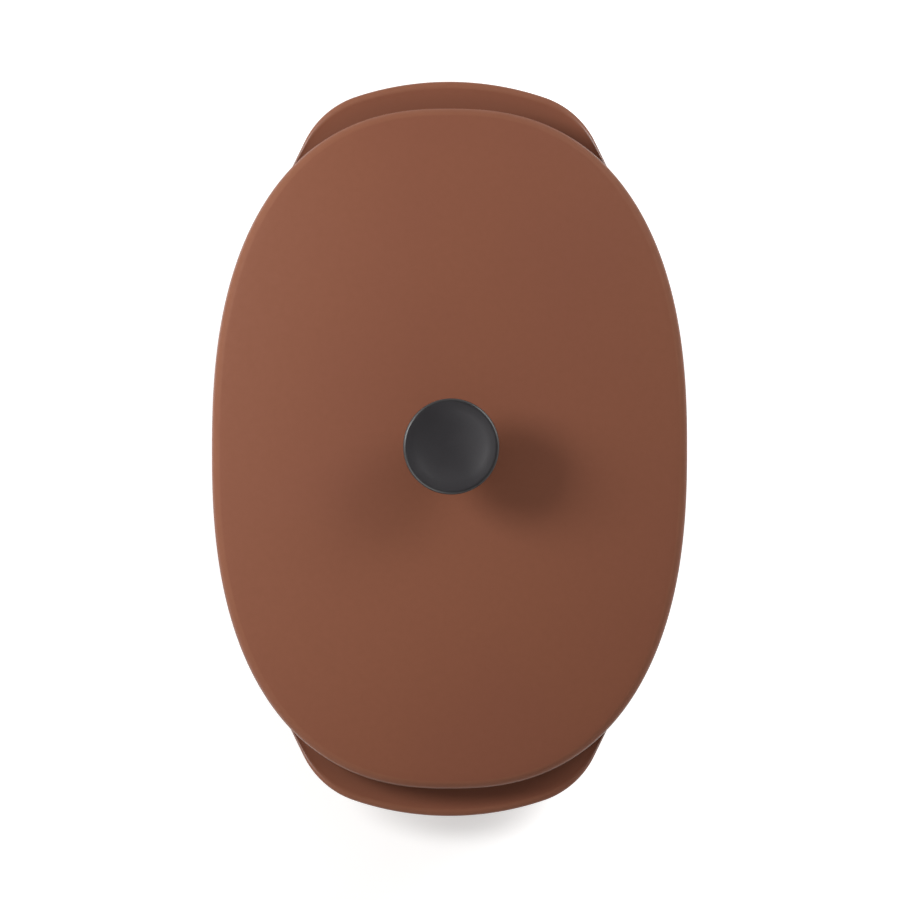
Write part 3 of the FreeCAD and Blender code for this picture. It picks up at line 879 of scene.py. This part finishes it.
def glaze_tone(tree, place, glaze, mottle):
    """The glaze's colour: slow patches and fine mottling, thin over edges, pooled in hollows, and a painted
    shade on the handles' dished tops.
    """
    patches = mapped(tree, noise(tree, place, scale=7.0, detail=3.0), *glaze.patch_range, smooth=True)
    tone = blended(tree, patches, glaze.body, glaze.cool)
    darker = [channel * glaze.mottle_tone for channel in glaze.body]
    mottled = mapped(tree, mottle, *glaze.mottle_range, to_end=glaze.mottle_strength)
    tone = blended(tree, mottled, tone, darker)
    bend = stored(tree, "bend")
    uneven = clouds(tree, place, scale=60.0, detail=2.0, low=0.6, high=1.0)
    gentle = mapped(tree, bend, *glaze.thin_bends, to_end=glaze.thin_strength)
    sharp = mapped(tree, bend, *glaze.sharp_bends, 1.0, glaze.sharp_share)
    thin = calculated(tree, "MULTIPLY", gentle, sharp)
    tone = blended(tree, calculated(tree, "MULTIPLY", thin, uneven), tone, glaze.thin)
    # This mask is the glaze pooled in inward bends; the handles' painted shade joins it below.
    pooled_and_shaded = mapped(tree, bend, *glaze.pooled_bends, to_end=glaze.pooled_strength)
    # Painted shade on the handles' dished tops, in the same dark colour as pooled glaze.
    handle_shade_paint = calculated(tree, "MULTIPLY", stored(tree, "painted_handle_shade"), glaze.handle_painted_shade)
    return blended(tree, calculated(tree, "MAXIMUM", pooled_and_shaded, handle_shade_paint), tone, glaze.pooled_and_shaded)


def glaze_material(glaze):
    """Satin glaze with smooth shiny rims and lips, over a bare clay foot."""
    material, tree, shader = new_material("satin_glaze", glaze.body, glaze.roughness)
    place = object_place(tree)
    mottle = noise(tree, place, scale=300.0, detail=4.0, roughness=0.6)
    tone = glaze_tone(tree, place, glaze, mottle)
    wobble = clouds(tree, place, scale=90.0, detail=3.0, low=-glaze.line_wobble, high=glaze.line_wobble)
    height = calculated(tree, "ADD", measure_of(tree, place, "Z"), wobble)
    bare = mapped(tree, height, glaze.line_start, glaze.line_end, 1.0, 0.0)
    grain = noise(tree, place, scale=1500.0, detail=3.0)
    dark_clay = [channel * glaze.clay_tone for channel in glaze.clay]
    clay = blended(tree, mapped(tree, grain, NOISE_LOW, NOISE_HIGH), glaze.clay, dark_clay)
    tree.links.new(blended(tree, bare, tone, clay), shader.inputs["Base Color"])
    spread = [glaze.roughness + change for change in glaze.spread]
    satin = mapped(tree, mottle, NOISE_LOW, NOISE_HIGH, *spread)
    drawn = mapped(tree, stored(tree, "bend"), *glaze.smooth_bends)
    smoother = calculated(tree, "MULTIPLY", drawn, glaze.edge_roughness - glaze.roughness)
    satin = calculated(tree, "ADD", satin, smoother)
    matte = calculated(tree, "MULTIPLY", bare, glaze.clay_roughness)
    tree.links.new(calculated(tree, "ADD", satin, matte), shader.inputs["Roughness"])
    peel = bumped(tree, noise(tree, place, scale=260.0), distance=0.00003, strength=0.5)
    fine = bumped(tree, noise(tree, place, scale=2200.0), distance=0.000006, strength=0.5, under=peel)
    rough = calculated(tree, "MULTIPLY", grain, bare)
    tree.links.new(bumped(tree, rough, distance=0.00012, strength=0.8, under=fine), shader.inputs["Normal"])
    gloss = mapped(tree, drawn, 0.0, 1.0, glaze.gloss, glaze.edge_gloss)
    tree.links.new(gloss, shader.inputs["Specular IOR Level"])
    return material


def knob_material(knob_look):
    """Moulded dark resin with a fine even texture, polished a little where it is handled."""
    material, tree, shader = new_material("knob_resin", knob_look.body, knob_look.roughness)
    place = object_place(tree)
    texture = noise(tree, place, scale=2600.0, detail=3.0, roughness=0.6)
    paler = [channel * knob_look.speck_tone for channel in knob_look.body]
    tone = blended(tree, mapped(tree, texture, NOISE_LOW, NOISE_HIGH), knob_look.body, paler)
    handled = mapped(tree, stored(tree, "bend"), *knob_look.handled_bends)
    tree.links.new(blended(tree, handled, tone, knob_look.worn), shader.inputs["Base Color"])
    satin = clouds(tree, place, 70.0, 2.0, *(knob_look.roughness + change for change in knob_look.spread))
    polish = calculated(tree, "MULTIPLY", handled, -knob_look.polish)
    tree.links.new(calculated(tree, "ADD", satin, polish), shader.inputs["Roughness"])
    tree.links.new(bumped(tree, texture, distance=0.00002, strength=0.6), shader.inputs["Normal"])
    shader.inputs["Specular IOR Level"].default_value = knob_look.gloss
    return material


def turned_metal_material(name, tone, dark, roughness):
    """Metal turned on a lathe: fine rings about the axis, with dull patches."""
    material, tree, shader = new_material(name, tone, roughness, 1.0)
    place = object_place(tree)
    rings = tree.nodes.new("ShaderNodeTexNoise")
    rings.noise_dimensions = "1D"
    rings.inputs["Scale"].default_value = RINGS_PER_METRE
    rings.inputs["Detail"].default_value = 3.0
    along = calculated(tree, "ADD", distance_from_axis(tree, place), measure_of(tree, place, "Z"))
    tree.links.new(along, rings.inputs["W"])
    dull = mapped(tree, noise(tree, place, scale=400.0, detail=4.0), 0.45, 0.75, to_end=0.5)
    tree.links.new(blended(tree, dull, tone, dark), shader.inputs["Base Color"])
    spread = [roughness + change for change in METAL_SPREAD]
    turned = mapped(tree, rings.outputs["Fac"], NOISE_LOW, NOISE_HIGH, *spread)
    tree.links.new(turned, shader.inputs["Roughness"])
    marks = bumped(tree, rings.outputs["Fac"], distance=0.000008, strength=0.6)
    tree.links.new(marks, shader.inputs["Normal"])
    return material


def silicone_material():
    """Black silicone with a matte skin and a little pale bloom."""
    material, tree, shader = new_material("black_silicone", SILICONE_BLACK, 0.6)
    place = object_place(tree)
    bloom = mapped(tree, noise(tree, place, scale=500.0, detail=5.0, roughness=0.65), 0.5, 0.8, to_end=0.4)
    tree.links.new(blended(tree, bloom, SILICONE_BLACK, SILICONE_BLOOM), shader.inputs["Base Color"])
    tree.links.new(mapped(tree, bloom, 0.0, 0.4, 0.52, 0.75), shader.inputs["Roughness"])
    skin = bumped(tree, noise(tree, place, scale=3000.0), distance=0.00001, strength=0.6)
    tree.links.new(skin, shader.inputs["Normal"])
    return material


def seen_directly(tree):
    """1 for what the camera sees, also by a reflection or through glass, and 0 for light on the object."""
    path = tree.nodes.new("ShaderNodeLightPath")
    seen = calculated(tree, "MAXIMUM", path.outputs["Is Camera Ray"], path.outputs["Is Glossy Ray"])
    return calculated(tree, "MAXIMUM", seen, path.outputs["Is Transmission Ray"])


def oval_distance(tree, place, centre, reach):
    """How far a place lies from the middle of a level oval, where 1 is its edge."""
    moved = vector_calculated(tree, "SUBTRACT", place, (*centre, 0))
    scaled = vector_calculated(tree, "MULTIPLY", moved, (1 / reach[0], 1 / reach[1], 0))
    return vector_calculated(tree, "LENGTH", scaled, result="Value")


def floor_lift(tree, place, studio):
    """How much the floor's white is lifted: lowered in a painted shadow in front of the dish and a painted
    shade under it, raised as painted light on its right, and raised far off.
    """
    def painted_shade_level(oval, start, end):
        return mapped(tree, oval, start, end, studio.painted_shade_glow, studio.floor_glow, smooth=True)

    across = measure_of(tree, place, "X")
    # Painted light on the right, over the key lamp's shadow, fading in towards the dish's edge.
    side = mapped(tree, across, studio.side_start, studio.side_end, to_end=studio.painted_side_light, smooth=True)
    cover = oval_distance(tree, place, (0, 0), (studio.cover_width, studio.cover_length))
    side = calculated(tree, "MULTIPLY", side, mapped(tree, cover, studio.side_fade, 1.0, smooth=True))
    # Painted shadow in front of the dish and painted shade under it, made by a lower lift.
    front = (studio.painted_shade_across, -studio.painted_shade_front)
    shade = oval_distance(tree, place, front, (studio.painted_shade_width, studio.painted_shade_length))
    level = calculated(tree, "MINIMUM", painted_shade_level(shade, studio.painted_shade_core, 1.0),
                       painted_shade_level(cover, studio.painted_under_fade, studio.painted_under_end))
    far = mapped(tree, cover, studio.far_start, studio.far_end, to_end=studio.far_glow, smooth=True)
    return calculated(tree, "ADD", calculated(tree, "ADD", side, level), far)


def floor_material(studio):
    """White that stays white to the camera and still takes the object's shadow, with a painted shadow in
    front of the dish, painted shade under it and painted light on its right.
    """
    material = bpy.data.materials.new("white_floor")
    material.use_nodes = True
    tree = material.node_tree
    tree.nodes.clear()
    output = tree.nodes.new("ShaderNodeOutputMaterial")
    matte = tree.nodes.new("ShaderNodeBsdfDiffuse")
    matte.inputs["Color"].default_value = (*studio.floor_white, 1)
    glow = tree.nodes.new("ShaderNodeEmission")
    strength = floor_lift(tree, object_place(tree), studio)
    tree.links.new(calculated(tree, "MULTIPLY", seen_directly(tree), strength), glow.inputs["Strength"])
    both = tree.nodes.new("ShaderNodeAddShader")
    tree.links.new(matte.outputs[0], both.inputs[0])
    tree.links.new(glow.outputs[0], both.inputs[1])
    tree.links.new(both.outputs[0], output.inputs["Surface"])
    return material


def make_floor(studio):
    """A wide level floor under the dish."""
    mesh = bmesh.new()
    bmesh.ops.create_grid(mesh, x_segments=1, y_segments=1, size=studio.floor_size / 2)
    placed_object("floor", mesh, floor_material(studio))


def card_glow(tree, core, azimuth, elevation, start, glow):
    """A soft white card that only the glaze's mirror shows."""
    around = tree.nodes.new("ShaderNodeTexCoord").outputs["Generated"]
    towards = vector_calculated(tree, "DOT_PRODUCT", around, lamp_direction(azimuth, elevation), "Value")
    card = mapped(tree, towards, start, core, 0.0, glow, smooth=True)
    return calculated(tree, "MULTIPLY", tree.nodes.new("ShaderNodeLightPath").outputs["Is Glossy Ray"], card)


def lamp_direction(azimuth, elevation):
    """The direction of a place at an azimuth and an elevation."""
    return Vector((math.cos(azimuth) * math.cos(elevation), math.sin(azimuth) * math.cos(elevation),
                   math.sin(elevation)))


def make_sky(studio):
    """Even light from all round, which the camera sees as plain white with a dark ceiling overhead."""
    world = bpy.data.worlds.new("studio")
    bpy.context.scene.world = world
    world.use_nodes = True
    tree = world.node_tree
    background = tree.nodes["Background"]
    background.inputs["Color"].default_value = (1, 1, 1, 1)
    upward = measure_of(tree, tree.nodes.new("ShaderNodeTexCoord").outputs["Generated"], "Z")
    white = mapped(tree, upward, studio.wall_top, studio.ceiling_start, 1.0 - studio.sky_share,
                   studio.ceiling_share - studio.sky_share, smooth=True)
    lifted = calculated(tree, "MULTIPLY", seen_directly(tree), white)
    level = calculated(tree, "ADD", lifted, studio.sky_share)
    for card in zip(studio.card_azimuths, studio.card_elevations, studio.card_starts, studio.card_glows):
        level = calculated(tree, "ADD", level, card_glow(tree, studio.card_core, *card))
    tree.links.new(level, background.inputs["Strength"])


def make_lamp(name, azimuth, elevation, reach, size, level_share):
    """A square lamp that gives a level surface its share of a plain light."""
    direction = lamp_direction(azimuth, elevation)
    data = bpy.data.lights.new(name, "AREA")
    data.shape = "SQUARE"
    data.size = size
    data.energy = level_share * math.pi ** 2 * reach ** 2 / math.sin(elevation)
    lamp = bpy.data.objects.new(name, data)
    lamp.location = Vector((0, 0, DISH_HIGH.z)) + direction * reach
    lamp.rotation_euler = direction.to_track_quat("Z", "Y").to_euler()
    bpy.context.scene.collection.objects.link(lamp)


def make_camera(studio):
    """The camera above the dish, a little off the upright."""
    data = bpy.data.cameras.new("camera")
    data.sensor_width = studio.sensor_width
    data.lens = studio.sensor_width * studio.camera_distance / studio.frame_width
    camera = bpy.data.objects.new("camera", data)
    camera.location = (studio.aim_across - studio.camera_distance * math.tan(studio.camera_swing),
                       studio.aim_along - studio.camera_distance * math.tan(studio.camera_tilt),
                       DISH_HIGH.z + studio.camera_distance)
    camera.rotation_euler = (studio.camera_tilt, -studio.camera_swing, studio.camera_roll)
    bpy.context.scene.collection.objects.link(camera)
    bpy.context.scene.camera = camera


class CASSEROLE_OT_dish(bpy.types.Operator):
    """Build the glazed dish with its two wing handles"""
    bl_idname = "casserole.build_dish"
    bl_label = "Build dish"

    def execute(self, context):
        scene = context.scene
        mesh = make_dish(scene.casserole_oval, scene.casserole_dish, scene.casserole_handle)
        finished_object("dish", mesh, "dish", ["dish_body"], glaze_material(scene.casserole_glaze))
        return {"FINISHED"}


class CASSEROLE_OT_lid(bpy.types.Operator):
    """Build the glazed lid with its flange"""
    bl_idname = "casserole.build_lid"
    bl_label = "Build lid"

    def execute(self, context):
        scene = context.scene
        sizes = (scene.casserole_oval, scene.casserole_dish, scene.casserole_handle, scene.casserole_lid)
        mesh = make_lid(*sizes)
        finished_object("crowned_lid", mesh, "lid", ["lid"], glaze_material(scene.casserole_glaze))
        return {"FINISHED"}


class CASSEROLE_OT_knob(bpy.types.Operator):
    """Build the moulded knob"""
    bl_idname = "casserole.build_knob"
    bl_label = "Build knob"

    def execute(self, context):
        scene = context.scene
        mesh = make_knob(scene.casserole_oval, scene.casserole_knob)
        material = knob_material(scene.casserole_resin)
        finished_object("moulded_knob", mesh, "lid", ["knob"], material)
        return {"FINISHED"}


class CASSEROLE_OT_fixing(bpy.types.Operator):
    """Finish the screw, washers, seals and insert that hold the knob"""
    bl_idname = "casserole.finish_fixing"
    bl_label = "Finish knob fixing"

    def execute(self, context):
        steel = turned_metal_material("turned_steel", (0.60, 0.60, 0.61), (0.42, 0.41, 0.40), 0.30)
        brass = turned_metal_material("turned_brass", (0.72, 0.52, 0.22), (0.50, 0.34, 0.14), 0.28)
        silicone = silicone_material()
        finishes = {
            "knob_screw": steel, "screw_washer": steel, "spring_washer": steel,
            "knob_insert": brass, "knob_seal": silicone, "lid_seal": silicone}
        for node, material in finishes.items():
            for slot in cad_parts[node].material_slots:
                slot.material = material
        return {"FINISHED"}


class CASSEROLE_OT_stage(bpy.types.Operator):
    """Build the floor, the light and the camera"""
    bl_idname = "casserole.build_stage"
    bl_label = "Build stage"

    def execute(self, context):
        studio = context.scene.casserole_studio
        context.scene.view_settings.view_transform = "Standard"
        make_floor(studio)
        make_sky(studio)
        make_lamp("key_lamp", studio.key_azimuth, studio.key_elevation, studio.key_reach, studio.key_size,
                  studio.key_share)
        make_lamp("fill_lamp", studio.fill_azimuth, studio.fill_elevation, studio.fill_reach,
                  studio.fill_size, studio.fill_share)
        make_camera(studio)
        return {"FINISHED"}


class CASSEROLE_PT_panel(bpy.types.Panel):
    """The dish's operators and sizes"""
    bl_idname = "CASSEROLE_PT_panel"
    bl_label = "Casserole dish"
    bl_space_type = "VIEW_3D"
    bl_region_type = "UI"
    bl_category = "Casserole"

    def draw(self, context):
        for operator in OPERATORS:
            self.layout.operator(operator.bl_idname)
        for name in SETTINGS:
            group = getattr(context.scene, name)
            box = self.layout.box()
            for prop in group.bl_rna.properties:
                if prop.identifier not in {"rna_type", "name"}:
                    box.prop(group, prop.identifier)


OPERATORS = [CASSEROLE_OT_dish, CASSEROLE_OT_lid, CASSEROLE_OT_knob, CASSEROLE_OT_fixing, CASSEROLE_OT_stage]
SETTINGS = {
    "casserole_oval": OvalSizes,
    "casserole_dish": DishSizes,
    "casserole_handle": HandleSizes,
    "casserole_lid": LidSizes,
    "casserole_knob": KnobSizes,
    "casserole_glaze": GlazeLook,
    "casserole_resin": KnobLook,
    "casserole_studio": StudioLook,
}


def register():
    for cls in [*SETTINGS.values(), *OPERATORS, CASSEROLE_PT_panel]:
        bpy.utils.register_class(cls)
    for name, cls in SETTINGS.items():
        setattr(bpy.types.Scene, name, PointerProperty(type=cls))


def unregister():
    for name in SETTINGS:
        delattr(bpy.types.Scene, name)
    for cls in reversed([*SETTINGS.values(), *OPERATORS, CASSEROLE_PT_panel]):
        bpy.utils.unregister_class(cls)


def main():
    register()
    bpy.ops.casserole.build_dish()
    bpy.ops.casserole.build_lid()
    bpy.ops.casserole.build_knob()
    bpy.ops.casserole.finish_fixing()
    bpy.ops.casserole.build_stage()


if __name__ == "__main__":
    main()
